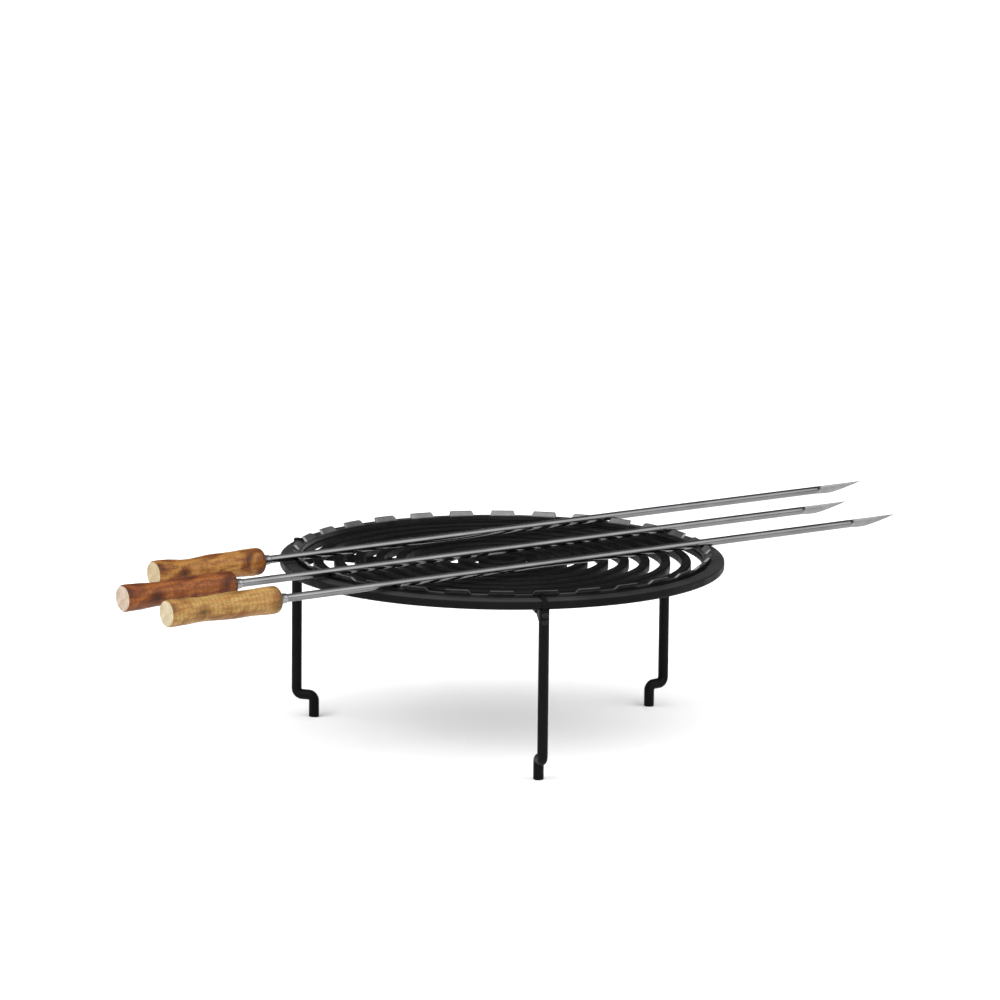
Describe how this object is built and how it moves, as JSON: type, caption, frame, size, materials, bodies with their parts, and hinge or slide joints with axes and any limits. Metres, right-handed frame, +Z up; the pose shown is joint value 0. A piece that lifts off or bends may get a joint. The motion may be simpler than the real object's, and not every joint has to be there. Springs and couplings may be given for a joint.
{
  "type": "fire pit grate with skewer rack",
  "caption": "Round grill grate on Z-footed legs, with a notched skewer ring seated on its rim and long steel skewers with turned wooden handles.",
  "frame": {"origin": "on the grate's vertical axis, in the plane that its three toes stand on", "axes": "+Z up along the grate's axis, +X to the right as seen from the front, towards the skewers' tips, +Y to the back"},
  "size_m": [0.9744, 0.9082, 0.2545],
  "materials": {
    "black_grate": "seasoned black, satin",
    "black_leg": "black powder coat, satin",
    "black_screw": "blackened",
    "rack_steel": "dark satin",
    "rod_steel": "polished",
    "ferrule_steel": "satin",
    "pale_wood": "oiled, pale yellow",
    "red_wood": "oiled, reddish brown",
    "amber_wood": "oiled, orange brown"
  },
  "bodies": {
    "grate": {"rim": "black_grate", "grate_ring_1": "black_grate", "grate_ring_2": "black_grate", "grate_ring_3": "black_grate", "grate_ring_4": "black_grate", "grate_ring_5": "black_grate", "grate_ring_6": "black_grate", "grate_ring_7": "black_grate", "grate_ring_8": "black_grate", "grate_ring_9": "black_grate", "spoke_front": "black_grate", "bracket_front": "black_grate", "leg_front": "black_leg", "spoke_left": "black_grate", "bracket_left": "black_grate", "leg_left": "black_leg", "spoke_right": "black_grate", "bracket_right": "black_grate", "leg_right": "black_leg", "leg_screws": "black_screw"},
    "rack": {"rack_hoop": "rack_steel", "rack_teeth": "rack_steel"},
    "front_collar": {"front_skewer_ferrule": "ferrule_steel"},
    "front_skewer": {"front_skewer_rod": "rod_steel", "front_skewer_handle": "pale_wood"},
    "middle_collar": {"middle_skewer_ferrule": "ferrule_steel"},
    "middle_skewer": {"middle_skewer_rod": "rod_steel", "middle_skewer_handle": "red_wood"},
    "back_collar": {"back_skewer_ferrule": "ferrule_steel"},
    "back_skewer": {"back_skewer_rod": "rod_steel", "back_skewer_handle": "amber_wood"}
  },
  "joints": [
    {"name": "rack_lift", "type": "slide", "parent": "grate", "child": "rack", "axis": [0, 0, 1], "range_m": [0, 0.295]},
    {"name": "front_skewer_lift", "type": "slide", "parent": "rack", "child": "front_collar", "axis": [0, 0, 1], "range_m": [0, 0.1]},
    {"name": "front_skewer_turn", "type": "hinge", "parent": "front_collar", "child": "front_skewer", "pos_m": [-0.26633, -0.32246, 0.2372], "axis": [0.809, 0.5878, 0], "continuous": true},
    {"name": "middle_skewer_lift", "type": "slide", "parent": "rack", "child": "middle_collar", "axis": [0, 0, 1], "range_m": [0, 0.1]},
    {"name": "middle_skewer_turn", "type": "hinge", "parent": "middle_collar", "child": "middle_skewer", "pos_m": [-0.32442, -0.2357, 0.2372], "axis": [0.809, 0.5878, 0], "continuous": true},
    {"name": "back_skewer_lift", "type": "slide", "parent": "rack", "child": "back_collar", "axis": [0, 0, 1], "range_m": [0, 0.1]},
    {"name": "back_skewer_turn", "type": "hinge", "parent": "back_collar", "child": "back_skewer", "pos_m": [-0.29675, -0.08664, 0.2372], "axis": [0.809, 0.5878, 0], "continuous": true}
  ]
}
